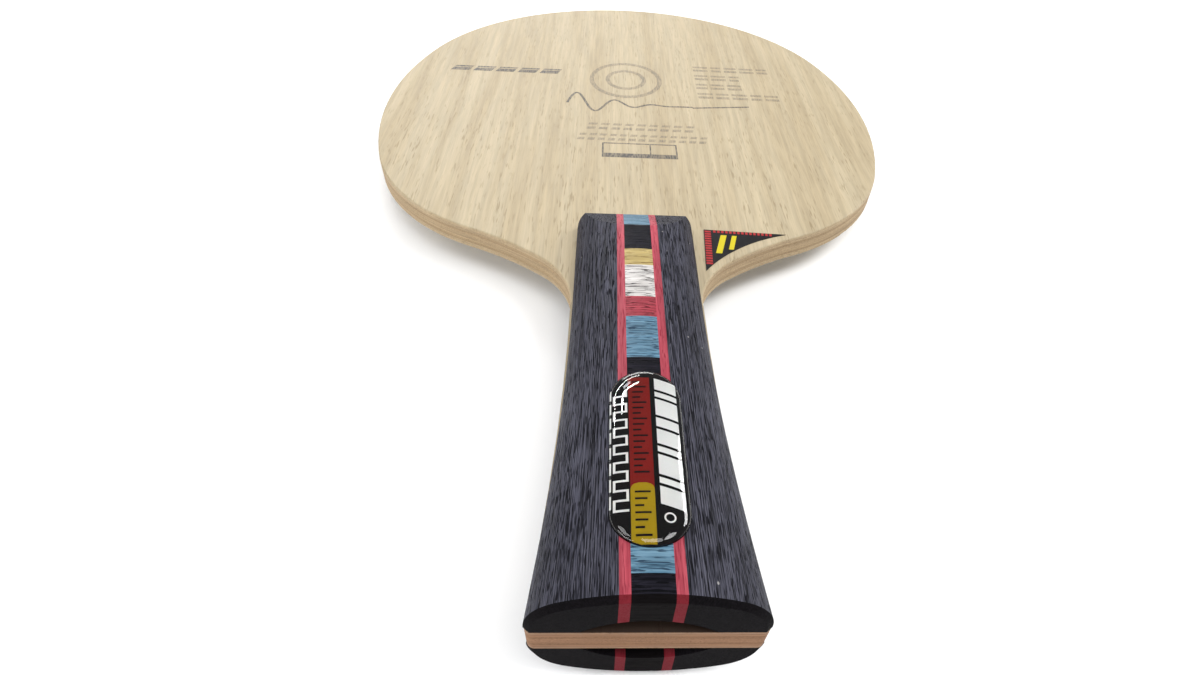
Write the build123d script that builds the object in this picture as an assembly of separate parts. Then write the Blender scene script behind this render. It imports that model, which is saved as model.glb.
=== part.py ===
from build123d import *
import math
import os

# Bare table tennis bat: a seven-ply wooden blade with a flared handle of two laminated halves
# glued to its faces. No rubber sheets are fitted.
#
# Frame: millimetres, +Z up out of the front hitting face, +Y from the butt towards the head tip,
# +X to the right when the front face is seen with the head pointing away. The origin is the
# bottom centre of the bounding box, so the bat stands over Z = 0 on its back handle half.

# ---------------------------------------------------------------- blade
TOTAL_LENGTH = 257.0
HEAD_WIDTH = 150.0
PLY_STACK = [  # name, thickness, from the back hitting face to the front one
    ("ply_7_back_face", 0.6),
    ("ply_6_back_outer", 0.8),
    ("ply_5_back_inner", 0.75),
    ("ply_4_core", 1.6),
    ("ply_3_front_inner", 0.75),
    ("ply_2_front_outer", 0.8),
    ("ply_1_front_face", 0.6),
]
BLADE_THICKNESS = sum(thickness for _, thickness in PLY_STACK)
EDGE_EASE = 0.45  # rounding of the two outer edges of the head
RUBBER_FOOT = 101.6  # distance from the butt to the straight lower edge of a fitted rubber sheet
TANG_PROUD = 0.5  # how far the blade stands out past each side of the handle at its waist
BUTT_CORNER_RADIUS = 1.3

# The head outline is a chain of tangent arcs from the tip down to the handle.
# Turns are in degrees: the first three arcs bulge outward, the last two curve inward.
TIP_TURN = 69.5
SIDE_RADIUS = 120.0
SIDE_TURN = 38.5
LOWER_RADIUS = 52.0
LOWER_TURN = 48.0
SHOULDER_RADIUS = 86.0
SHOULDER_TURN = 14.5

# ---------------------------------------------------------------- handle
HANDLE_LENGTH = 100.0
WAIST_WIDTH = 28.0
BUTT_WIDTH = 36.2
FLARE_START = 70.0  # distance from the butt at which the straight waist starts to flare
BUTT_BEVEL_LENGTH = 0.8
BUTT_BEVEL_INSET = 1.05
# Distance from the butt, height of the crown over the glue line, radius of the section's shoulder.
SECTIONS = [
    (BUTT_BEVEL_LENGTH, 11.0, 9.2),
    (25.0, 10.15, 8.8),
    (50.0, 9.25, 8.3),
    (75.0, 8.4, 7.6),
    (HANDLE_LENGTH, 7.1, 6.5),
]
HEAD_BEVEL_LENGTH = 8.5  # of the slanted face at the head end of the handle, along Y
HEAD_BEVEL_FOOT = 4.6  # height of that slanted face over the glue line, at the handle's end
HEAD_BEVEL_TOP = 7.4  # height at which it runs out on the crown

# ---------------------------------------------------------------- laminations of each handle half
CENTRE_WIDTH = 6.0
STRIP_WIDTH = 1.6
BLOCKS = [  # colour and length of the cross-grain blocks in the centre, from the head end
    ("blue", HEAD_BEVEL_LENGTH),
    ("black", 10.3),
    ("gold", 6.1),
    ("white", 10.8),
    ("red", 6.2),
    ("blue", 11.6),
    ("black", 10.1),
    ("gold", 5.8),
    ("white", 10.2),
    ("red", 5.9),
    ("blue", 10.7),
    ("black", 3.8),
]

# ---------------------------------------------------------------- hollow along each glue line
HOLLOW_WIDTH = 20.0
HOLLOW_HEIGHT = 4.15
HOLLOW_LENGTH = 70.0

# ---------------------------------------------------------------- badge and decal
BADGE_LENGTH = 34.8
BADGE_WIDTH = 12.2
BADGE_CENTRE = 25.0  # distance from the butt
LABEL_THICKNESS = 0.2
DOME_THICKNESS = 1.2
DOME_ROUNDING = 0.8
DECAL_THICKNESS = 0.12
# Points of the decal's outline: X and the distance from the butt.
DECAL_SQUARE_CORNER = (17.2, 101.4)
DECAL_TIP = (37.7, 100.2)
DECAL_CURVE = (26.8, 95.0)  # on its curved long side
DECAL_FOOT = (16.3, 84.7)

# ---------------------------------------------------------------- worked out
BUTT_Y = -TOTAL_LENGTH / 2
TIP_Y = TOTAL_LENGTH / 2
CROWN_RISE = SECTIONS[0][1]
MID_Z = CROWN_RISE + BLADE_THICKNESS / 2
GLUE_Z = MID_Z + BLADE_THICKNESS / 2
FLARE_RADIUS = (FLARE_START**2 + ((BUTT_WIDTH - WAIST_WIDTH) / 2) ** 2) / (BUTT_WIDTH - WAIST_WIDTH)
TIP_SINE = math.sin(math.radians(TIP_TURN))
TIP_RADIUS = (HEAD_WIDTH / 2 - SIDE_RADIUS * (1 - TIP_SINE)) / TIP_SINE
CLEAR = 40.0  # reach of cutting shapes beyond the handle
TOUCH = 0.001  # faces nearer than this to a plane lie on it


def plan_half_width(distance):
    """Half the handle's width at a distance from the butt."""
    short_of_waist = max(FLARE_START - distance, 0.0)
    return WAIST_WIDTH / 2 + FLARE_RADIUS - math.sqrt(FLARE_RADIUS**2 - short_of_waist**2)


def arc_point(start, heading, radius, turn):
    """Where an arc ends that leaves start along heading and turns clockwise by turn degrees."""
    before = math.radians(heading)
    after = math.radians(heading - turn)
    signed_radius = math.copysign(radius, turn)
    x = start[0] + signed_radius * (math.sin(before) - math.sin(after))
    y = start[1] + signed_radius * (math.cos(after) - math.cos(before))
    return (x, y)


def outline():
    """Plan of the blade, from the head's tip to the handle's butt."""
    arcs = [
        (TIP_RADIUS, TIP_TURN),
        (SIDE_RADIUS, SIDE_TURN),
        (LOWER_RADIUS, LOWER_TURN),
        (SHOULDER_RADIUS, -SHOULDER_TURN),
    ]
    with BuildSketch() as plan:
        with BuildLine():
            point = (0, TIP_Y)
            heading = 0.0
            for radius, turn in arcs:
                halfway = arc_point(point, heading, radius, turn / 2)
                end = arc_point(point, heading, radius, turn)
                ThreePointArc(point, halfway, end)
                point = end
                heading -= turn
            # The neck arc brings the outline back to straight down, on the handle's side.
            tang_half_width = WAIST_WIDTH / 2 + TANG_PROUD
            neck_turn = heading + 90.0
            neck_radius = (point[0] - tang_half_width) / (1 - math.cos(math.radians(neck_turn)))
            halfway = arc_point(point, heading, neck_radius, neck_turn / 2)
            neck_end = arc_point(point, heading, neck_radius, neck_turn)
            ThreePointArc(point, halfway, neck_end)
            waist_end = (tang_half_width, BUTT_Y + FLARE_START)
            Line(neck_end, waist_end)
            # The tang's flare is shallower than the handle's, so that they are flush at the butt.
            flare_x = plan_half_width(FLARE_START / 2) + TANG_PROUD / 2
            flare_middle = (flare_x, BUTT_Y + FLARE_START / 2)
            butt_corner = (BUTT_WIDTH / 2, BUTT_Y)
            ThreePointArc(waist_end, flare_middle, butt_corner)
            Line(butt_corner, (0, BUTT_Y))
            mirror(about=Plane.YZ)
        make_face()
        corners = plan.vertices().sort_by(Axis.Y).filter_by(lambda vertex: abs(vertex.X) > 1)[:2]
        fillet(corners, BUTT_CORNER_RADIUS)
    return plan.sketch, neck_end[1]


def ply(plan, neck_y, bottom_z, thickness, eased_face):
    """One veneer. A face veneer has its outer edge eased round the head, down to the handle.
    Its flat face is in two parts that meet at the rubber's lower edge, so that the part above
    the line is the exact landing of a rubber sheet."""
    sheet = extrude(Pos(0, 0, bottom_z) * plan, thickness)
    if eased_face is None:
        return sheet
    rim = sheet.faces().sort_by(Axis.Z)[eased_face].edges()
    eased = fillet(rim, EDGE_EASE)
    tang = sheet & Pos(0, neck_y - CLEAR * 2, MID_Z) * Box(HEAD_WIDTH, CLEAR * 4, CLEAR)
    veneer = eased + tang
    line_y = BUTT_Y + RUBBER_FOOT
    halves = split(veneer, bisect_by=Plane.XZ.offset(-line_y), keep=Keep.BOTH).solids()
    faces = [face for half in halves for face in half.faces()]
    skin = [face for face in faces if abs(face.center().Y - line_y) > TOUCH]
    return Solid(Shell(skin))


def section(distance, rise, shoulder, grow=0.0):
    """D-shaped section of the front handle half, with its flat side on the glue line."""
    half_width = plan_half_width(distance) + grow
    rise += grow
    shoulder += grow
    side = half_width - shoulder
    crown = (side**2 + rise**2 - shoulder**2) / (2 * (rise - shoulder))
    lean = math.asin(side / (crown - shoulder))  # where the crown arc meets the shoulder arc
    meet = (crown * math.sin(lean), rise - crown + crown * math.cos(lean))
    shoulder_mid = math.pi / 4 - lean / 2
    knee = (side + shoulder * math.cos(shoulder_mid), shoulder * math.sin(shoulder_mid))
    plane = Plane((0, BUTT_Y + distance, GLUE_Z), x_dir=(1, 0, 0), z_dir=(0, -1, 0))
    with BuildSketch(plane) as outline_of_section:
        with BuildLine():
            Line((-half_width, 0), (half_width, 0))
            ThreePointArc((half_width, 0), knee, meet)
            ThreePointArc(meet, (0, rise), (-meet[0], meet[1]))
            ThreePointArc((-meet[0], meet[1]), (-knee[0], knee[1]), (-half_width, 0))
        make_face()
    return outline_of_section.sketch


def domed_bar(grow=0.0):
    """The front handle half as one bar, before it is bevelled and hollowed."""
    return loft([section(*station, grow) for station in SECTIONS])


def handle_half():
    """The front handle half as one solid: flared, domed, bevelled at both ends and hollowed."""
    first = SECTIONS[0]
    butt_face = section(0.0, *first[1:], grow=-BUTT_BEVEL_INSET)
    butt_cap = loft([butt_face, section(*first)], ruled=True)
    bar = domed_bar() + butt_cap

    slope = (HEAD_BEVEL_TOP - HEAD_BEVEL_FOOT) / HEAD_BEVEL_LENGTH
    end_y = BUTT_Y + HANDLE_LENGTH
    foot_z = GLUE_Z + HEAD_BEVEL_FOOT
    with BuildSketch(Plane.YZ) as above_bevel:
        Polygon(
            (end_y + 2, foot_z - 2 * slope),
            (end_y + 2, foot_z + CLEAR),
            (end_y - 2 * HEAD_BEVEL_LENGTH, foot_z + CLEAR),
            (end_y - 2 * HEAD_BEVEL_LENGTH, foot_z + 2 * HEAD_BEVEL_LENGTH * slope),
            align=None,
        )
    bar -= extrude(above_bevel.sketch, CLEAR, both=True)

    hollow_radius = ((HOLLOW_WIDTH / 2) ** 2 + HOLLOW_HEIGHT**2) / (2 * HOLLOW_HEIGHT)
    hollow_z = GLUE_Z + HOLLOW_HEIGHT - hollow_radius
    groove = Cylinder(hollow_radius, 2 * HOLLOW_LENGTH, rotation=(90, 0, 0))
    return bar - Pos(0, BUTT_Y, hollow_z) * groove


def slab(left, right, low, high):
    """A tall block between two X and two Y positions, that cuts one lamination out of a half."""
    middle = ((left + right) / 2, (low + high) / 2, GLUE_Z)
    return Pos(*middle) * Box(right - left, high - low, CLEAR * 2)


def laminations(half):
    """The pieces that a handle half is glued up from, by name."""
    inner = CENTRE_WIDTH / 2
    outer = inner + STRIP_WIDTH
    butt = BUTT_Y - 1
    end = BUTT_Y + HANDLE_LENGTH + 1
    pieces = {
        "left_cheek": half & slab(-CLEAR, -outer, butt, end),
        "left_strip": half & slab(-outer, -inner, butt, end),
        "right_strip": half & slab(inner, outer, butt, end),
        "right_cheek": half & slab(outer, CLEAR, butt, end),
    }
    high = BUTT_Y + HANDLE_LENGTH
    for number, (colour, length) in enumerate(BLOCKS, start=1):
        low = high - length
        pieces[f"block_{number:02d}_{colour}"] = half & slab(-inner, inner, low, high)
        high = low
    return pieces


def badge():
    """Printed label and the clear resin cap on it, both bent over the crown of the front half."""
    place = Pos(0, BUTT_Y + BADGE_CENTRE, GLUE_Z)
    stadium = place * extrude(SlotOverall(BADGE_LENGTH, BADGE_WIDTH, rotation=90), CLEAR)
    label_top = domed_bar(LABEL_THICKNESS)
    label = stadium & (label_top - domed_bar())
    dome = stadium & (domed_bar(LABEL_THICKNESS + DOME_THICKNESS) - label_top)
    rim = dome.faces().sort_by(SortBy.AREA)[-2:].sort_by(Axis.Z)[-1].edges()
    return label, fillet(rim, DOME_ROUNDING)


def throat_decal():
    """Three-sided sticker beside the neck, whose long side follows the edge of the blade."""
    with BuildSketch(Plane.XY.offset(GLUE_Z)) as sticker:
        with BuildLine():
            Line(DECAL_FOOT, DECAL_SQUARE_CORNER)
            Line(DECAL_SQUARE_CORNER, DECAL_TIP)
            ThreePointArc(DECAL_TIP, DECAL_CURVE, DECAL_FOOT)
        make_face()
    return Pos(0, BUTT_Y, 0) * extrude(sticker.sketch, DECAL_THICKNESS)


def build():
    """Every node of the bat, by name."""
    nodes = {}
    plan, neck_y = outline()
    eased_faces = {"ply_7_back_face": 0, "ply_1_front_face": -1}
    bottom_z = MID_Z - BLADE_THICKNESS / 2
    for name, thickness in PLY_STACK:
        nodes[name] = ply(plan, neck_y, bottom_z, thickness, eased_faces.get(name))
        bottom_z += thickness

    front_half = laminations(handle_half())
    middle_of_blade = Plane.XY.offset(MID_Z)
    for name, piece in front_half.items():
        nodes["front_" + name] = piece
        nodes["back_" + name] = mirror(piece, middle_of_blade)

    nodes["badge_label"], nodes["badge_dome"] = badge()
    nodes["throat_decal"] = throat_decal()
    return nodes


os.makedirs("parts", exist_ok=True)
for node, shape in build().items():
    export_step(shape, f"parts/{node}.step")
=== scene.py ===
import math

import bmesh
import bpy
from mathutils import Matrix, Vector
from mathutils.bvhtree import BVHTree


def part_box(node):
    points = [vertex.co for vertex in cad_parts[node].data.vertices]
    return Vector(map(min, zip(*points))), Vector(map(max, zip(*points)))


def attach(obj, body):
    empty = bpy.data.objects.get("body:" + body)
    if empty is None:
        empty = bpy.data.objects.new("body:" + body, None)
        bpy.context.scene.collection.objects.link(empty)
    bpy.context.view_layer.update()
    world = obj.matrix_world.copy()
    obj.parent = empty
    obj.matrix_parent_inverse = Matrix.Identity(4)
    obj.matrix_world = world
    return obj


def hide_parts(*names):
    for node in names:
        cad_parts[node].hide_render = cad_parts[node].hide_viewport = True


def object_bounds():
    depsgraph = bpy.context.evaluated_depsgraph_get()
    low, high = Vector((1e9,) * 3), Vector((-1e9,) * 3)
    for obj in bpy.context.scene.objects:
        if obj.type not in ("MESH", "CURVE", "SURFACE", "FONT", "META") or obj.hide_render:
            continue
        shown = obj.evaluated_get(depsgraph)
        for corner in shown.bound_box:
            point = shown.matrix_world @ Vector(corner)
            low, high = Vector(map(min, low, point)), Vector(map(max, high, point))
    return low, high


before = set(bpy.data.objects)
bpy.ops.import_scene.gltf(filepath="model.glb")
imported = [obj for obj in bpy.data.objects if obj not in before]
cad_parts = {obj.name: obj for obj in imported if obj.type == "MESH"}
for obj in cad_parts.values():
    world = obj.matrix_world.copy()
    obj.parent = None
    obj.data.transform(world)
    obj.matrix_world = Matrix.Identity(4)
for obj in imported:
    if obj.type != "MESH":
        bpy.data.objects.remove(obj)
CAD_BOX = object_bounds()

MM = 0.001

# ---------------------------------------------------------------- places, from the frame
BUTT_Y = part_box("front_left_cheek")[0].y
HANDLE_END_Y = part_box("front_left_cheek")[1].y
TIP_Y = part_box("ply_4_core")[1].y
FACE_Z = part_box("ply_1_front_face")[1].z
BACK_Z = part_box("ply_7_back_face")[0].z
MID_Z = (FACE_Z + BACK_Z) / 2
LABEL_LOW, LABEL_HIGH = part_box("badge_label")
BADGE_CENTRE_Y = (LABEL_LOW.y + LABEL_HIGH.y) / 2
BADGE_RADIUS = (LABEL_HIGH.x - LABEL_LOW.x) / 2
BADGE_STRAIGHT = (LABEL_HIGH.y - LABEL_LOW.y) / 2 - BADGE_RADIUS
DECAL_LOW, DECAL_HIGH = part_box("throat_decal")
DOME_HEIGHT = 1.15 * MM
HOLLOW_REACH = 10.5 * MM  # just past half the width of the hollow along each glue line
INK = 0.02 * MM  # thickness of a printed mark
DECAL_TURN = 3.3  # degrees that the decal is turned to the right, so that it follows the neck
SAWN_TINT = (0.70, 0.46, 0.365)  # what the sawn butt does to the colour of bare wood
SANDED_TINT = (1.04, 0.97, 0.90)  # what the sanded rim of the head does to it
SAWN_SLOPE = (0.28, 0.5)  # lean of the surface along the bat at which the sawn look starts and is full
CAMERA_FROM_BUTT = Vector((-7.2, -35.7, 93.3)) * MM
CAMERA_ANGLES = (4.53, 48.33, 4.36)  # to the right, down and rolled, in degrees
CAMERA_LENS_MM = 19.22
CAMERA_SHIFT = (-0.0302, 0.0518)
FLOOR_REACH = 4.0  # from the bat to each edge of the floor
FLOOR_GAP = 0.1 * MM


# ================================================================ materials
class Graph:
    """The node tree of one material, with a short method for each kind of node used here."""

    def __init__(self, name, wander=0.0):
        self.material = bpy.data.materials.new(name)
        self.material.use_nodes = True
        self.tree = self.material.node_tree
        self.tree.nodes.clear()
        self.shader = self.node("ShaderNodeBsdfPrincipled")
        output = self.node("ShaderNodeOutputMaterial")
        self.link(self.shader.outputs[0], output.inputs["Surface"])
        self.place = self.node("ShaderNodeTexCoord").outputs["Object"]
        if wander:
            self.place = self.wandering(wander)

    def node(self, kind, **settings):
        made = self.tree.nodes.new(kind)
        for name, value in settings.items():
            setattr(made, name, value)
        return made

    def link(self, source, target):
        self.tree.links.new(source, target)

    def put(self, value, target):
        """Gives an input a number, a colour or another node's output."""
        if isinstance(value, bpy.types.NodeSocket):
            self.link(value, target)
        elif isinstance(value, tuple) and len(value) == 3 and target.type == "RGBA":
            target.default_value = (*value, 1.0)
        else:
            target.default_value = value

    def wandering(self, amount):
        """Coordinates whose grain lines wander sideways a little, as in real timber."""
        drift = self.node("ShaderNodeTexNoise")
        self.put(self.scaled((60.0, 22.0, 60.0)), drift.inputs["Vector"])
        drift.inputs["Scale"].default_value = 1.0
        drift.inputs["Detail"].default_value = 1.0
        centred = self.node("ShaderNodeVectorMath", operation="SUBTRACT")
        self.link(drift.outputs["Color"], centred.inputs[0])
        centred.inputs[1].default_value = (0.5, 0.5, 0.5)
        swayed = self.node("ShaderNodeVectorMath", operation="MULTIPLY_ADD")
        self.link(centred.outputs[0], swayed.inputs[0])
        swayed.inputs[1].default_value = (amount, amount, amount)
        self.link(self.place, swayed.inputs[2])
        return swayed.outputs[0]

    def scaled(self, scale, shift=(0.0, 0.0, 0.0)):
        mapping = self.node("ShaderNodeMapping")
        self.link(self.place, mapping.inputs["Vector"])
        mapping.inputs["Scale"].default_value = scale
        mapping.inputs["Location"].default_value = shift
        return mapping.outputs[0]

    def grain(self, axis, across, along, detail=2.0, rough=0.5, seed=0.0):
        """Noise drawn out along the grain, with features about across by along metres in size."""
        scale = [1 / across] * 3
        scale["XYZ".index(axis)] = 1 / along
        noise = self.node("ShaderNodeTexNoise")
        self.link(self.scaled(tuple(scale), (seed, seed * 0.7, seed * 1.3)), noise.inputs["Vector"])
        noise.inputs["Scale"].default_value = 1.0
        noise.inputs["Detail"].default_value = detail
        noise.inputs["Roughness"].default_value = rough
        return noise.outputs["Fac"]

    def cells(self, axis, across, along, seed=0.0):
        """Distance to scattered points, drawn out along the grain."""
        scale = [1 / across] * 3
        scale["XYZ".index(axis)] = 1 / along
        voronoi = self.node("ShaderNodeTexVoronoi")
        self.link(self.scaled(tuple(scale), (seed, seed * 0.7, seed * 1.3)), voronoi.inputs["Vector"])
        voronoi.inputs["Scale"].default_value = 1.0
        return voronoi.outputs["Distance"]

    def band(self, value, low, high, to_low=0.0, to_high=1.0):
        """value remapped so that low becomes to_low and high becomes to_high, with soft ends."""
        remap = self.node("ShaderNodeMapRange", interpolation_type="SMOOTHSTEP")
        self.put(value, remap.inputs["Value"])
        remap.inputs["From Min"].default_value = low
        remap.inputs["From Max"].default_value = high
        remap.inputs["To Min"].default_value = to_low
        remap.inputs["To Max"].default_value = to_high
        return remap.outputs["Result"]

    def math(self, operation, first, second):
        made = self.node("ShaderNodeMath", operation=operation)
        self.put(first, made.inputs[0])
        self.put(second, made.inputs[1])
        return made.outputs[0]

    def mix(self, share, first, second, blend="MIX"):
        made = self.node("ShaderNodeMix", data_type="RGBA", blend_type=blend)
        self.put(share, made.inputs[0])
        self.put(first, made.inputs[6])
        self.put(second, made.inputs[7])
        return made.outputs[2]

    def tint(self, colour, value, low, high):
        """colour made darker or lighter by value, from low times to high times."""
        grey = self.node("ShaderNodeCombineColor")
        shade = self.band(value, 0.3, 0.7, low, high)
        for channel in grey.inputs:
            self.link(shade, channel)
        return self.mix(1.0, colour, grey.outputs[0], "MULTIPLY")

    def size(self, value):
        """value without its sign."""
        return self.math("ABSOLUTE", value, 0.0)

    def sawn(self):
        """Where cut ends show: on faces that look along the bat, and inside a half's hollow."""
        end_grain = self.band(self.size(self.slope()[1]), *SAWN_SLOPE)
        return self.math("MAXIMUM", end_grain, self.inside_hollow())

    def upright(self):
        """How far the surface stands on edge, as round the rim and at the butt."""
        return self.band(self.size(self.slope()[2]), 0.3, 0.95, 1.0, 0.0)

    def cut_edge(self, colour):
        """Bare wood as its cut edges show it: brown where the butt was sawn, pale where the rim
        was sanded, and left alone on the flat faces."""
        at_butt = self.band(self.position()[1], BUTT_Y + 2 * MM, BUTT_Y + 6 * MM, 1.0, 0.0)
        tint = self.mix(at_butt, SANDED_TINT, SAWN_TINT)
        return self.mix(self.upright(), colour, self.mix(1.0, colour, tint, "MULTIPLY"))

    def inside_hollow(self):
        """Where a handle half's surface faces the blade: in the hollow along its glue line."""
        height = self.math("SUBTRACT", self.position()[2], MID_Z)
        outward = self.math("MULTIPLY", height, self.slope()[2])
        return self.band(outward, -1.5 * MM, -0.5 * MM, 1.0, 0.0)

    def pinstripes(self, pitch, seed=0.0):
        """Even fine lines along the bat, that follow a handle half's section round its flank."""
        x, _, z = self.position()
        height = self.size(self.math("SUBTRACT", z, MID_Z))
        girth = self.math("SUBTRACT", self.size(x), height)
        sway = self.math("MULTIPLY", self.grain("Y", 1.1 * MM, 45 * MM, detail=1.0, seed=seed), 1.6)
        turns = self.math("ADD", self.math("MULTIPLY", girth, 1 / pitch), sway)
        return self.math("SINE", self.math("MULTIPLY", turns, 2 * math.pi), 0.0)

    def position(self):
        """Position on the bat, as three numbers."""
        parts = self.node("ShaderNodeSeparateXYZ")
        self.link(self.place, parts.inputs[0])
        return tuple(parts.outputs)

    def slope(self):
        """The surface's normal, as three numbers."""
        parts = self.node("ShaderNodeSeparateXYZ")
        self.link(self.node("ShaderNodeNewGeometry").outputs["True Normal"], parts.inputs[0])
        return tuple(parts.outputs)

    def finish(self, colour, roughness, height=None, depth=0.1 * MM, strength=0.5):
        self.put(colour, self.shader.inputs["Base Color"])
        self.put(roughness, self.shader.inputs["Roughness"])
        if height is not None:
            bump = self.node("ShaderNodeBump")
            bump.inputs["Strength"].default_value = strength
            bump.inputs["Distance"].default_value = depth
            self.put(height, bump.inputs["Height"])
            self.link(bump.outputs[0], self.shader.inputs["Normal"])
        return self.material


def veneer(name, ink=None):
    """Pale sanded face veneer, grain along the blade, with short brown vessel lines.
    With ink, a colour and its weakest and strongest cover, the same wood under a worn print."""
    g = Graph(name, wander=1.0 * MM)
    bands = g.grain("Y", 5 * MM, 110 * MM, detail=3.0)
    colour = g.mix(g.band(bands, 0.34, 0.66), (0.415, 0.335, 0.212), (0.468, 0.390, 0.260))
    streaks = g.grain("Y", 1.1 * MM, 26 * MM, detail=3.0, rough=0.6, seed=4.0)
    colour = g.tint(colour, streaks, 1.06, 0.90)
    fibre = g.grain("Y", 0.32 * MM, 14 * MM, detail=4.0, rough=0.65)
    colour = g.tint(colour, fibre, 0.91, 1.07)
    vessels = g.band(g.grain("Y", 0.42 * MM, 5 * MM, detail=1.5, seed=2.0), 0.56, 0.70)
    clusters = g.band(g.grain("Y", 4 * MM, 40 * MM, detail=2.0, seed=6.0), 0.38, 0.60, 0.25, 1.0)
    near_handle = g.band(g.position()[1], HANDLE_END_Y - 20 * MM, TIP_Y, 1.0, 0.5)
    dashes = g.math("MULTIPLY", g.math("MULTIPLY", vessels, clusters), near_handle)
    colour = g.mix(g.math("MULTIPLY", dashes, 0.62), colour, (0.215, 0.160, 0.080))
    if ink is not None:
        worn = g.grain("Y", 0.35 * MM, 2.2 * MM, detail=3.0, seed=12.0)
        colour = g.mix(g.band(worn, 0.40, 0.62, ink[1], ink[2]), colour, ink[0])
    colour = g.cut_edge(colour)
    # Inside the hollow of the handle the veneer is painted nearly black: painted shade, where the deep
    # hollow keeps the light out.
    x, y, _ = g.position()
    along = g.math("LESS_THAN", y, HANDLE_END_Y - 25 * MM)
    across = g.math("LESS_THAN", g.size(x), HOLLOW_REACH)
    flat = g.math("GREATER_THAN", 0.1, g.upright())
    hollow_shade = g.math("MULTIPLY", g.math("MULTIPLY", g.math("MULTIPLY", along, across), flat), 0.97)
    colour = g.mix(hollow_shade, colour, (0.017, 0.005, 0.002))
    roughness = g.band(fibre, 0.3, 0.7, 0.52, 0.68)
    g.shader.inputs["Specular IOR Level"].default_value = 0.3
    height = g.math("SUBTRACT", g.math("MULTIPLY", fibre, 0.5), dashes)
    return g.finish(colour, roughness, height, depth=0.06 * MM, strength=0.35)


def ply_edge(name, colour, dark, axis):
    """An inner veneer, seen only at the cut edge: fine layers with darker end grain."""
    g = Graph(name, wander=0.3 * MM)
    layers = g.node("ShaderNodeTexNoise")
    g.link(g.scaled((60.0, 60.0, 5200.0)), layers.inputs["Vector"])
    layers.inputs["Scale"].default_value = 1.0
    layers.inputs["Detail"].default_value = 3.0
    surface = g.tint(colour, layers.outputs["Fac"], 0.80, 1.16)
    fibre = g.grain(axis, 0.25 * MM, 12 * MM, detail=3.0)
    surface = g.tint(surface, fibre, 0.86, 1.10)
    pores = g.band(g.grain(axis, 0.3 * MM, 5 * MM, detail=1.0, seed=5.0), 0.58, 0.70)
    surface = g.mix(g.math("MULTIPLY", pores, 0.5), surface, dark)
    surface = g.cut_edge(surface)
    height = g.math("SUBTRACT", layers.outputs["Fac"], pores)
    g.shader.inputs["Specular IOR Level"].default_value = 0.25
    return g.finish(surface, 0.75, height, depth=0.08 * MM, strength=0.5)


def black_cheek():
    """Black-stained open-grained wood: long straight fibres that catch the light between
    narrow black pores, with a stray fleck of bare wood here and there."""
    g = Graph("black_cheek", wander=0.05 * MM)
    fibre = g.grain("Y", 0.22 * MM, 42 * MM, detail=2.0, rough=0.6)
    # The dark and light fibre tones, and the light lines below, are partly the wood's own colour and
    # partly painted sheen: each is lifted by about 0.012 to stand in for the gloss that the low specular
    # level takes off.
    colour = g.mix(g.band(fibre, 0.40, 0.60), (0.011, 0.011, 0.016), (0.056, 0.056, 0.076))
    fade = g.band(g.grain("Y", 0.5 * MM, 30 * MM, detail=1.0, seed=15.0), 0.36, 0.58)
    lines = g.math("MULTIPLY", g.band(g.pinstripes(0.46 * MM, seed=9.0), 0.0, 0.9), fade)
    colour = g.mix(g.math("MULTIPLY", lines, 0.62), colour, (0.110, 0.110, 0.141))
    broad = g.grain("Y", 2.6 * MM, 80 * MM, detail=1.0, seed=3.0)
    colour = g.tint(colour, broad, 0.84, 1.14)
    short = g.band(g.grain("Y", 0.24 * MM, 3.6 * MM, detail=1.5, seed=7.0), 0.58, 0.64)
    long = g.band(g.grain("Y", 0.2 * MM, 16 * MM, detail=1.0, seed=11.0), 0.60, 0.66)
    pores = g.math("MAXIMUM", short, long)
    colour = g.mix(g.math("MULTIPLY", pores, 0.86), colour, (0.002, 0.002, 0.003))
    flecks = g.band(g.cells("Y", 3.4 * MM, 5.0 * MM, seed=21.0), 0.035, 0.06, 0.55, 0.0)
    colour = g.mix(flecks, colour, (0.45, 0.43, 0.42))
    sawn = g.sawn()
    speckle = g.tint((0.0024, 0.0017, 0.0023), g.grain("Y", 0.3 * MM, 0.3 * MM, detail=2.0), 0.4, 2.2)
    colour = g.mix(g.math("MULTIPLY", sawn, 0.97), colour, speckle)
    matt = g.math("MAXIMUM", sawn, pores)
    roughness = g.math("ADD", g.band(fibre, 0.3, 0.7, 0.42, 0.60), g.math("MULTIPLY", matt, 0.38))
    # Low specular level: the painted sheen in the fibre tones above stands in for the rest of the gloss.
    g.shader.inputs["Specular IOR Level"].default_value = 0.08
    ridges = g.math("MULTIPLY", g.math("ADD", fibre, lines), 0.5)
    return g.finish(colour, roughness, g.math("SUBTRACT", ridges, pores), depth=0.16 * MM, strength=0.7)


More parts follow.
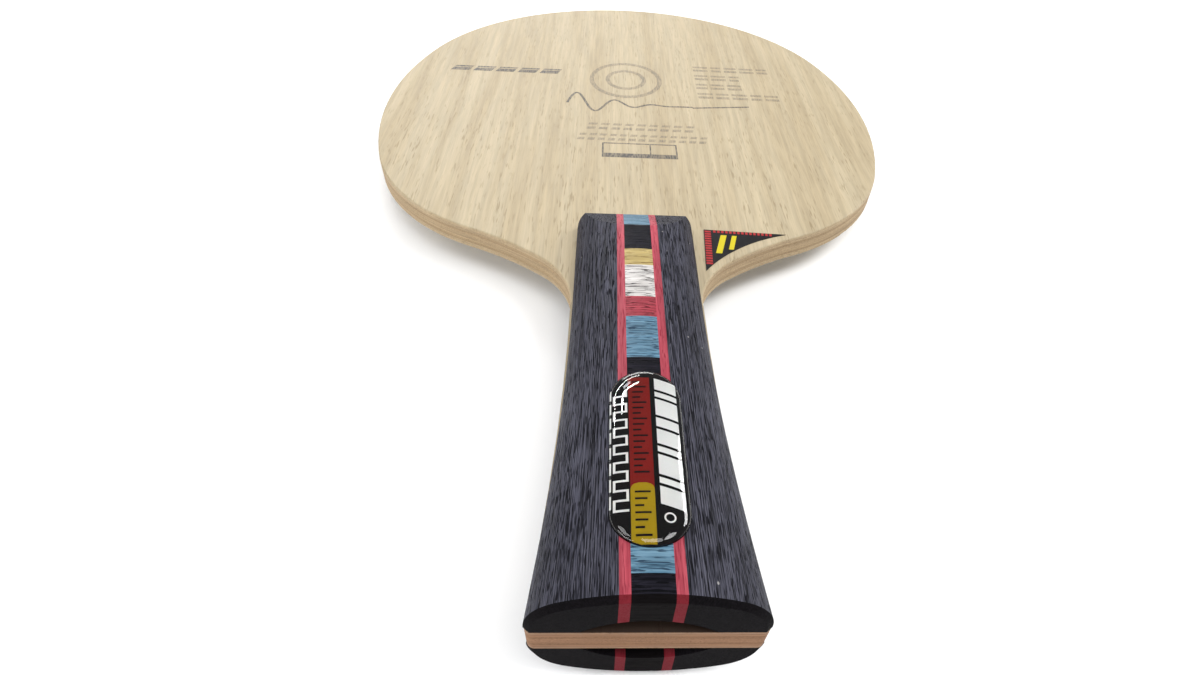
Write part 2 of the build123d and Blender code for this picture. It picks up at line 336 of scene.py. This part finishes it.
def stained_timber(name, tones, axis, gloss, wander, pore):
    """Open-pored stained timber with its grain along axis: fine dark and light fibres and sunken
    pores. tones are the dark, light, pore and sawn-end colours; the sawn ends are matt.
    gloss is the specular level, and wander how far the grain strays sideways."""
    dark, light, pore_colour, butt = tones
    width, length, low, high = pore
    g = Graph(name, wander=wander)
    fibre = g.grain(axis, 0.3 * MM, 34 * MM, detail=4.0, rough=0.7)
    colour = g.mix(g.band(fibre, 0.38, 0.64), dark, light)
    broad = g.grain(axis, 2.2 * MM, 70 * MM, detail=2.0, seed=3.0)
    colour = g.tint(colour, broad, 0.78, 1.22)
    short = g.band(g.grain(axis, width * MM, length * MM, detail=1.5, seed=7.0), low, high)
    long = g.band(g.grain(axis, 0.22 * MM, 14 * MM, detail=1.0, seed=11.0), 0.61, 0.68)
    holes = g.math("MAXIMUM", short, long)
    colour = g.mix(g.math("MULTIPLY", holes, 0.9), colour, pore_colour)
    sawn = g.sawn()
    colour = g.mix(g.math("MULTIPLY", sawn, 0.92), colour, butt)
    roughness = g.math("ADD", g.band(fibre, 0.3, 0.7, 0.40, 0.58), g.math("MULTIPLY", holes, 0.25))
    roughness = g.math("ADD", roughness, g.math("MULTIPLY", sawn, 0.35))
    g.shader.inputs["Specular IOR Level"].default_value = gloss
    height = g.math("SUBTRACT", g.math("MULTIPLY", fibre, 0.5), holes)
    return g.finish(colour, roughness, height, depth=0.12 * MM, strength=0.6)


def gloss_print(name, colour, variation=0.06, gloss=0.0):
    """Printing ink: nearly even, with the faint grain of the press. Under resin it has no gloss."""
    g = Graph(name)
    g.shader.inputs["Specular IOR Level"].default_value = gloss
    grain = g.grain("Y", 0.12 * MM, 0.12 * MM, detail=2.0)
    surface = g.tint(colour, grain, 1 - variation, 1 + variation)
    return g.finish(surface, g.band(grain, 0.3, 0.7, 0.28, 0.4), grain, depth=0.01 * MM, strength=0.1)


def clear_resin():
    """The cast dome: clear, very smooth, with the slight unevenness of poured resin."""
    g = Graph("clear_resin")
    swell = g.grain("Y", 5 * MM, 9 * MM, detail=1.0)
    g.shader.inputs["Transmission Weight"].default_value = 1.0
    g.shader.inputs["IOR"].default_value = 1.5
    return g.finish((0.995, 0.998, 0.998), 0.03, swell, depth=0.05 * MM, strength=0.15)


def floor_paper():
    """White paper lit through from below, as on a light table, which keeps shadows faint."""
    g = Graph("floor_paper")
    tooth = g.grain("Y", 0.8 * MM, 0.8 * MM, detail=3.0)
    g.shader.inputs["Emission Color"].default_value = (1.0, 1.0, 1.0, 1.0)
    g.shader.inputs["Emission Strength"].default_value = 0.08
    return g.finish(g.tint((0.93, 0.93, 0.93), tooth, 0.99, 1.0), 0.9)


# Dark fibre, light fibre, pore and sawn-end colours of each stained timber.
STRIP = (0.33, 0.040, 0.062), (0.44, 0.072, 0.098), (0.22, 0.02, 0.035), (0.165, 0.010, 0.017)
BLOCKS = {
    "blue": ((0.060, 0.145, 0.222), (0.135, 0.250, 0.335), (0.010, 0.026, 0.052), (0.04, 0.07, 0.1)),
    "black": ((0.003, 0.003, 0.005), (0.013, 0.012, 0.019), (0.001, 0.001, 0.002), (0.004, 0.003, 0.003)),
    "gold": ((0.34, 0.25, 0.082), (0.43, 0.335, 0.135), (0.16, 0.10, 0.03), (0.15, 0.1, 0.03)),
    "white": ((0.50, 0.47, 0.45), (0.60, 0.58, 0.56), (0.02, 0.015, 0.015), (0.2, 0.19, 0.18)),
    "red": ((0.24, 0.020, 0.034), (0.35, 0.042, 0.060), (0.07, 0.005, 0.01), (0.13, 0.012, 0.02)),
}
# Width and length in mm of a timber's pores, and the noise band they are cut from.
STRIP_PORE = (0.24, 4.0, 0.60, 0.68)
CRACK = (0.27, 3.2, 0.585, 0.63)
THIN_CRACK = (0.25, 4.2, 0.58, 0.60)


def paint_cad_nodes():
    """Gives every CAD node that stays in view its own finish."""
    face = veneer("face_veneer")
    light = ply_edge("light_inner_ply", (0.44, 0.355, 0.235), (0.26, 0.18, 0.10), "X")
    dark = ply_edge("dark_inner_ply", (0.365, 0.280, 0.172), (0.16, 0.10, 0.05), "Y")
    core = ply_edge("core_ply", (0.42, 0.330, 0.212), (0.24, 0.165, 0.095), "Y")
    cheek = black_cheek()
    strip = stained_timber("red_strip", STRIP, "Y", 0.16, 0.15 * MM, STRIP_PORE)
    blocks = {}
    for colour, tones in BLOCKS.items():
        gloss = 0.06 if colour == "black" else 0.2
        crack = THIN_CRACK if colour == "white" else CRACK
        blocks[colour] = stained_timber(f"{colour}_block", tones, "X", gloss, 0.5 * MM, crack)
    plies = {"face": face, "outer": light, "inner": dark, "core": core}
    films = {
        "badge_label": gloss_print("label_black", (0.005, 0.004, 0.004), 0.12),
        "throat_decal": gloss_print("decal_black", (0.010, 0.009, 0.010), 0.12, gloss=0.3),
    }
    for name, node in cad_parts.items():
        kind = name.rsplit("_", 1)[-1]
        if name.startswith("ply_"):
            material = plies[kind]
        elif kind == "cheek":
            material = cheek
        elif kind == "strip":
            material = strip
        elif "_block_" in name:
            material = blocks[kind]
        elif name in films:
            material = films[name]
        else:
            continue
        node.data.materials.clear()
        node.data.materials.append(material)


# ================================================================ mesh pieces
def top_of(node):
    """A function that gives the height of a CAD node's upper surface over a point."""
    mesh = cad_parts[node].data
    tree = BVHTree.FromPolygons([v.co for v in mesh.vertices], [p.vertices for p in mesh.polygons])
    above = CAD_BOX[1].z + 10 * MM

    def height(x, y):
        hit = tree.ray_cast(Vector((x, y, above)), Vector((0, 0, -1)))[0]
        return hit.z if hit else None

    return height


def add_piece(name, points, faces, material, smooth=False):
    mesh = bpy.data.meshes.new(name)
    mesh.from_pydata(points, [], faces)
    mesh.validate()
    mesh.update()
    piece = bpy.data.objects.new(name, mesh)
    bpy.context.scene.collection.objects.link(piece)
    mesh.materials.append(material)
    for polygon in mesh.polygons:
        polygon.use_smooth = smooth
    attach(piece, "root")
    return piece


def printed(name, grids, height, material):
    """Thin printed marks. Each grid is rows of (x, y) points; each mark is a closed thin solid
    that lies on the surface given by height. A grid is (rows, wrap): wrap joins last to first."""
    points = []
    faces = []
    for rows, wrap in grids:
        start = len(points)
        columns = len(rows[0])
        count = len(rows)
        flat = [point for row in rows for point in row]
        levels = [height(x, y) for x, y in flat]
        points += [(x, y, z + INK) for (x, y), z in zip(flat, levels)]
        points += [(x, y, z - INK) for (x, y), z in zip(flat, levels)]
        under = start + len(flat)
        spans = count if wrap else count - 1
        for i in range(spans):
            a = i * columns
            b = ((i + 1) % count) * columns
            for j in range(columns - 1):
                top = [start + a + j, start + a + j + 1, start + b + j + 1, start + b + j]
                faces.append(top)
                faces.append([corner - start + under for corner in reversed(top)])
            for edge, flip in ((0, False), (columns - 1, True)):
                side = [start + a + edge, start + b + edge, under + b + edge, under + a + edge]
                faces.append(side[::-1] if flip else side)
        if not wrap:
            for row, flip in ((0, True), (count - 1, False)):
                a = row * columns
                for j in range(columns - 1):
                    side = [start + a + j, start + a + j + 1, under + a + j + 1, under + a + j]
                    faces.append(side[::-1] if flip else side)
    make_outward(add_piece(name, points, faces, material).data)


def make_outward(mesh):
    work = bmesh.new()
    work.from_mesh(mesh)
    bmesh.ops.recalc_face_normals(work, faces=work.faces)
    work.to_mesh(mesh)
    work.free()


def steps(low, high, count):
    return [low + (high - low) * i / count for i in range(count + 1)]


def quad(corners, across=4, along=4):
    """A four-cornered mark: corners go round it, and along counts rows from the first edge."""
    a, b, c, d = corners
    rows = []
    for t in steps(0.0, 1.0, along):
        left = (a[0] + (d[0] - a[0]) * t, a[1] + (d[1] - a[1]) * t)
        right = (b[0] + (c[0] - b[0]) * t, b[1] + (c[1] - b[1]) * t)
        rows.append([
            (left[0] + (right[0] - left[0]) * s, left[1] + (right[1] - left[1]) * s)
            for s in steps(0.0, 1.0, across)
        ])
    return rows, False


def bar(x, y, width, length, slant=0.0):
    """A slanted bar with its lower left corner at x, y. slant shifts its top to the right."""
    return quad([(x, y), (x + width, y), (x + width + slant, y + length), (x + slant, y + length)])


def ring(x, y, outer, inner, count=72, stretch=1.0):
    rows = []
    for i in range(count):
        angle = 2 * math.pi * i / count
        rows.append([
            (x + r * math.cos(angle), y + r * math.sin(angle) * stretch) for r in (outer, inner)
        ])
    return rows, True


def stroke(path, width):
    """A pen line of even width along a list of points."""
    rows = []
    for i, (x, y) in enumerate(path):
        before = path[max(i - 1, 0)]
        after = path[min(i + 1, len(path) - 1)]
        run = math.hypot(after[0] - before[0], after[1] - before[1])
        side = ((before[1] - after[1]) / run * width / 2, (after[0] - before[0]) / run * width / 2)
        rows.append([(x - side[0], y - side[1]), (x + side[0], y + side[1])])
    return rows, False


# ---------------------------------------------------------------- badge
def badge_half_width(y, inset=0.0):
    """Half the badge's width at y, less an inset from its edge."""
    beyond = abs(y - BADGE_CENTRE_Y) - BADGE_STRAIGHT
    radius = BADGE_RADIUS - inset
    if beyond <= 0:
        return radius
    return math.sqrt(max(radius**2 - beyond**2, 0.0))


def column(left, right, low, high, corner=0.0):
    """An upright band of the label's print, cut by the badge's rounded ends.
    corner rounds its two upper corners."""
    inset = 0.25 * MM
    narrowest = 0.05 * MM
    grid = []
    for y in steps(low, high, 48):
        half = badge_half_width(y, inset)
        into = max(corner - (high - y), 0.0)
        pinch = corner - math.sqrt(max(corner**2 - into**2, 0.0))
        a = min(max(left + pinch, -half), half)
        b = min(max(right - pinch, -half), half)
        if b - a > narrowest:
            grid.append([(a + (b - a) * s, y) for s in steps(0.0, 1.0, 4)])
    return grid, False


def badge_print():
    """The label's print: plain bands, slanted bars and a zigzag, in place of the maker's words."""
    height = top_of("badge_label")
    low = LABEL_LOW.y
    high = LABEL_HIGH.y
    red = gloss_print("label_red", (0.25, 0.013, 0.009))
    gold = gloss_print("label_gold", (0.46, 0.31, 0.006))
    white = gloss_print("label_white", (0.97, 0.98, 0.96), 0.02)
    dark = gloss_print("label_dark", (0.008, 0.003, 0.003))
    band_left, band_right = -2.8 * MM, 0.7 * MM
    split = low + 10.6 * MM
    red_band = column(band_left, band_right, split - 1 * MM, high - 2.0 * MM)
    printed("label_red_band", [red_band], height, red)

    def over(lift):
        return lambda x, y: height(x, y) + lift

    gold_band = column(band_left, band_right, low, split, corner=1.2 * MM)
    printed("label_gold_band", [gold_band], over(INK), gold)

    ticks = []
    for i in range(26):
        y = low + (1.6 + i * 1.2) * MM
        if abs(y - split) > 0.9 * MM:
            ticks.append(bar(-2.2 * MM, y, (2.3, 1.3, 1.8)[i % 3] * MM, 0.34 * MM))
    printed("label_band_ticks", ticks, over(2 * INK), dark)

    bold = []
    bottom = low + 5.8 * MM
    left, right, rise = 1.5 * MM, 5.05 * MM, 1.1 * MM
    for length in (3.2, 1.1, 3.8, 1.1, 3.0, 1.9, 3.6, 1.1, 2.6):
        top = bottom + length * MM
        bold.append(quad([(left, bottom + rise), (right, bottom), (right, top), (left, top + rise)], 6, 6))
        bottom = top + 0.55 * MM
    printed("label_bold_bars", bold, height, white)

    lines = []
    near, far, thick, pitch = -3.4 * MM, -5.3 * MM, 0.38 * MM, 1.75 * MM
    for i in range(14):
        y = low + 5.6 * MM + i * pitch
        lines.append(bar(far, y, near - far + thick, thick))
        lines.append(bar(near if i % 2 else far, y + thick, thick, pitch - thick))
    for i in range(8):
        lines.append(bar(-5.85 * MM, low + (6.2 + i * 3.1) * MM, 0.28 * MM, 2.3 * MM))
    printed("label_meander", lines, height, white)
    small_ring = ring(2.7 * MM, low + 4.6 * MM, 0.85 * MM, 0.6 * MM, 40)
    printed("label_small_ring", [small_ring], height, white)


def resin_dome():
    """The clear cap: steep at its rim, nearly flat on top, bent over the crown with the label."""
    height = top_of("badge_label")
    around = 96
    rings = 22
    embed = 0.05 * MM

    def rim(share, index):
        """A point on the stadium that keeps this share of the badge's radius."""
        angle = 2 * math.pi * index / around
        end = BADGE_STRAIGHT if math.sin(angle) >= 0 else -BADGE_STRAIGHT
        reach = BADGE_RADIUS * 0.998 * share
        return reach * math.cos(angle), BADGE_CENTRE_Y + end + reach * math.sin(angle)

    # Rings run from the rim inwards, close together where the cap is steep.
    shares = [1.0 - (i / rings) ** 1.8 for i in range(rings)] + [0.0]
    levels = []
    for share in shares:
        depth = 1.0 - share
        levels.append(DOME_HEIGHT * (1 - (1 - depth) ** 3.2) ** (1 / 2.2))
    grid = [[rim(max(share, 0.001), i) for i in range(around)] for share in shares]

    points = []
    for ring_points, level in zip(grid, levels):
        points += [(x, y, height(x, y) + level) for x, y in ring_points]
    under_start = len(points)
    for ring_points in grid:
        points += [(x, y, height(x, y) - embed) for x, y in ring_points]

    faces = []
    for start, flip in ((0, False), (under_start, True)):
        for r in range(len(grid) - 1):
            for i in range(around):
                n = (i + 1) % around
                a = start + r * around
                b = a + around
                face = [a + i, a + n, b + n, b + i]
                faces.append(face[::-1] if flip else face)
        last = start + (len(grid) - 1) * around
        cap = [last + i for i in range(around)]
        faces.append(cap[::-1] if flip else cap)
    for i in range(around):
        n = (i + 1) % around
        faces.append([i, under_start + i, under_start + n, n])
    dome = add_piece("badge_dome_lens", points, faces, clear_resin(), smooth=True)
    make_outward(dome.data)
    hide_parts("badge_dome")


# ---------------------------------------------------------------- decal and face print
def decal_print():
    """Neck decal: a comb of red ticks along its two straight sides and two slanted yellow bars."""
    red = gloss_print("decal_red", (0.40, 0.028, 0.03), gloss=0.3)
    yellow = gloss_print("decal_yellow", (0.60, 0.50, 0.018), gloss=0.3)

    # Across and down run along the decal's straight sides, from its square corner.
    turn = math.radians(DECAL_TURN)
    corner = Vector((DECAL_LOW.x + (DECAL_HIGH.y - DECAL_LOW.y) * math.sin(turn), DECAL_HIGH.y))
    across = Vector((math.cos(turn), -math.sin(turn)))
    down = Vector((-math.sin(turn), -math.cos(turn)))

    def flat(x, y):
        return DECAL_HIGH.z

    def mark(x, y, width, length, slant=0.0):
        """A bar whose upper left corner is x across and y down; slant shifts its foot to the left."""
        outline = ((x, y), (x + width, y), (x + width - slant, y + length), (x - slant, y + length))
        return quad([tuple(corner + across * u * MM + down * v * MM) for u, v in outline])

    ticks = [mark(0.15, 0.5 + i, 1.55, 0.66) for i in range(14)]
    ticks += [mark(2.3 + i, 0.12, 0.6, 1.0) for i in range(15)]
    printed("decal_red_ticks", ticks, flat, red)
    bars = [mark(4.1, 2.0, 1.5, 7.6, 1.5), mark(6.9, 2.0, 1.2, 5.8, 1.1)]
    printed("decal_yellow_bars", bars, flat, yellow)


def face_print():
    """Faint dark marks on the front face. Bars, dashes, rings and a box take the place of words."""
    ink = veneer("face_ink", ink=((0.045, 0.045, 0.052), 0.55, 0.9))
    faint = veneer("face_ink_faint", ink=((0.085, 0.078, 0.070), 0.25, 0.55))
    up = HANDLE_END_Y

    def flat(x, y):
        return FACE_Z

    bars = []
    for i in range(5):
        bars.append(bar((-60.0 + i * 7.4) * MM, up + 91.5 * MM, 6.0 * MM, 2.3 * MM, 0.9 * MM))
        bars.append(bar((-59.0 + i * 7.4) * MM, up + 94.3 * MM, 6.0 * MM, 1.0 * MM, 0.4 * MM))
    printed("print_left_bars", bars, flat, ink)

    centre_y = up + 89.0 * MM
    rings = [
        ring(-1.2 * MM, centre_y, 12.2 * MM, 10.7 * MM, stretch=1.15),
        ring(-1.2 * MM, centre_y, 6.8 * MM, 5.4 * MM, stretch=1.15),
    ]
    printed("print_rings", rings, flat, faint)

    wave = []
    for i in range(61):
        t = i / 60
        x = -20.0 + 40.0 * t
        y = 70.0 + 9.0 * math.sin(6.5 * math.pi * t) * (1 - t) ** 2.2
        wave.append((x * MM, up + y * MM))
    tail = [((20.0 + 18.5 * t) * MM, up + (69.5 + 2.4 * t) * MM) for t in steps(0.0, 1.0, 12)]
    printed("print_wave", [stroke(wave, 0.8 * MM), stroke(tail, 0.7 * MM)], flat, ink)

    dash_lengths = (
        (5.2, 3.6, 4.4, 5.0, 3.8),
        (4.6, 5.2, 3.4),
        (3.8, 4.6, 4.8),
        (5.0, 4.2, 5.2, 3.6, 4.6),
    )
    rows = []
    for row, dashes in enumerate(dash_lengths):
        x = 22.5
        y = up + (98.6 - row * 7.2) * MM
        for dash in dashes:
            rows.append(bar(x * MM, y, dash * MM, 1.5 * MM))
            rows.append(bar(x * MM, y + 2.8 * MM, dash * MM, 1.3 * MM))
            x += dash + 1.1
    printed("print_right_rows", rows, flat, faint)

    small = []
    for left, right, y, dash, gap in ((-13.5, 18.0, 52.8, 2.6, 1.1), (-16.0, 22.0, 46.0, 2.0, 1.0)):
        x = left
        while x < right:
            small.append(bar(x * MM, up + y * MM, dash * MM, 1.4 * MM, 0.3 * MM))
            small.append(bar((x + 0.6) * MM, up + (y + 2.8) * MM, dash * MM, 1.2 * MM, 0.3 * MM))
            x += dash + gap
    printed("print_small_rows", small, flat, faint)

    left, right, low, high = -8.6, 13.2, 36.2, 44.6
    box = [
        bar(left * MM, up + low * MM, (right - left) * MM, 2.3 * MM),
        bar(left * MM, up + (high - 0.5) * MM, (right - left) * MM, 0.5 * MM),
        bar(left * MM, up + (low + 2.3) * MM, 0.5 * MM, (high - low - 2.8) * MM),
        bar((right - 0.5) * MM, up + (low + 2.3) * MM, 0.5 * MM, (high - low - 2.8) * MM),
        bar(5.2 * MM, up + (low + 2.3) * MM, 0.4 * MM, (high - low - 2.8) * MM),
    ]
    printed("print_box", box, flat, ink)


# ================================================================ stage, light and camera
def floor():
    """A pale floor under the bat, which lies on the back of its handle and of the head's tip."""
    steepest = max(
        (BACK_Z - vertex.co.z) / (TIP_Y - vertex.co.y)
        for name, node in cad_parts.items()
        if name.startswith("back_")
        for vertex in node.data.vertices
    )
    lean = Matrix.Rotation(math.atan(steepest), 4, "X")
    sides = ((-1, -1), (1, -1), (1, 1), (-1, 1))
    corners = [lean @ Vector((x * FLOOR_REACH, y * FLOOR_REACH, 0)) for x, y in sides]
    foot = Vector((0, TIP_Y, BACK_Z - FLOOR_GAP))
    mesh = bpy.data.meshes.new("floor")
    mesh.from_pydata([corner + foot for corner in corners], [], [(0, 1, 2, 3)])
    mesh.materials.append(floor_paper())
    plane = bpy.data.objects.new("floor", mesh)
    bpy.context.scene.collection.objects.link(plane)


def area_light(name, place, size, power):
    """A white panel that faces the bat: its place and size in metres and its power in watts."""
    light = bpy.data.lights.new(name, "AREA")
    light.shape = "RECTANGLE"
    light.size, light.size_y = size
    light.energy = power
    holder = bpy.data.objects.new(name, light)
    holder.location = place
    to_bat = Vector((0.0, 0.0, MID_Z)) - Vector(place)
    holder.rotation_euler = to_bat.to_track_quat("-Z", "Y").to_euler()
    bpy.context.scene.collection.objects.link(holder)


def reach_from_badge(elevation, azimuth, distance):
    """A place beyond the head, seen from the badge at these angles in degrees."""
    up, round_z = math.radians(elevation), math.radians(azimuth)
    level = distance * math.cos(up)
    return (
        level * math.sin(round_z),
        BADGE_CENTRE_Y + level * math.cos(round_z),
        LABEL_HIGH.z + distance * math.sin(up),
    )


def lights():
    world = bpy.data.worlds.new("studio")
    world.use_nodes = True
    background = world.node_tree.nodes["Background"]
    background.inputs["Color"].default_value = (0.95, 0.97, 1.0, 1.0)
    background.inputs["Strength"].default_value = 0.24
    bpy.context.scene.world = world
    area_light("key_back", (0.10, -0.45, 1.15), (0.8, 0.5), 6.7)
    area_light("key_right", (0.74, -0.18, 1.10), (0.5, 0.4), 6.0)
    area_light("key_left", (-0.85, -0.10, 0.85), (0.5, 0.4), 2.7)
    area_light("fill_left", (-0.95, -0.50, 0.32), (0.8, 0.4), 4.4)
    area_light("sheen_right", (0.80, 0.38, 0.48), (0.5, 0.22), 4.6)
    area_light("low_tube", reach_from_badge(25, -22, 1.0), (0.7, 0.035), 2.0)
    area_light("high_tube", reach_from_badge(38, -14, 0.95), (0.34, 0.025), 1.2)
    area_light("soft_patch", reach_from_badge(33, -16, 0.95), (0.14, 0.08), 0.3)
    area_light("far_sky", (-0.1, 1.3, 0.25), (0.8, 0.2), 3.0)


def camera():
    """Close over the butt, looking along the handle to the head, as the object was seen."""
    yaw, pitch, roll = (math.radians(angle) for angle in CAMERA_ANGLES)
    ahead = Vector((math.sin(yaw) * math.cos(pitch), math.cos(yaw) * math.cos(pitch), -math.sin(pitch)))
    level = Vector((math.cos(yaw), -math.sin(yaw), 0.0))
    upright = level.cross(ahead)
    right = level * math.cos(roll) + upright * math.sin(roll)
    up = upright * math.cos(roll) - level * math.sin(roll)
    turn = Matrix((right, up, -ahead)).transposed().to_4x4()
    lens = bpy.data.cameras.new("camera")
    lens.sensor_width = 36.0
    lens.lens = CAMERA_LENS_MM
    lens.shift_x, lens.shift_y = CAMERA_SHIFT
    lens.clip_start = 0.01
    lens.clip_end = 20.0
    holder = bpy.data.objects.new("camera", lens)
    holder.matrix_world = Matrix.Translation(Vector((0, BUTT_Y, MID_Z)) + CAMERA_FROM_BUTT) @ turn
    bpy.context.scene.collection.objects.link(holder)
    bpy.context.scene.camera = holder


paint_cad_nodes()
badge_print()
resin_dome()
decal_print()
face_print()
floor()
lights()
camera()
bpy.context.scene.view_settings.view_transform = "Standard"
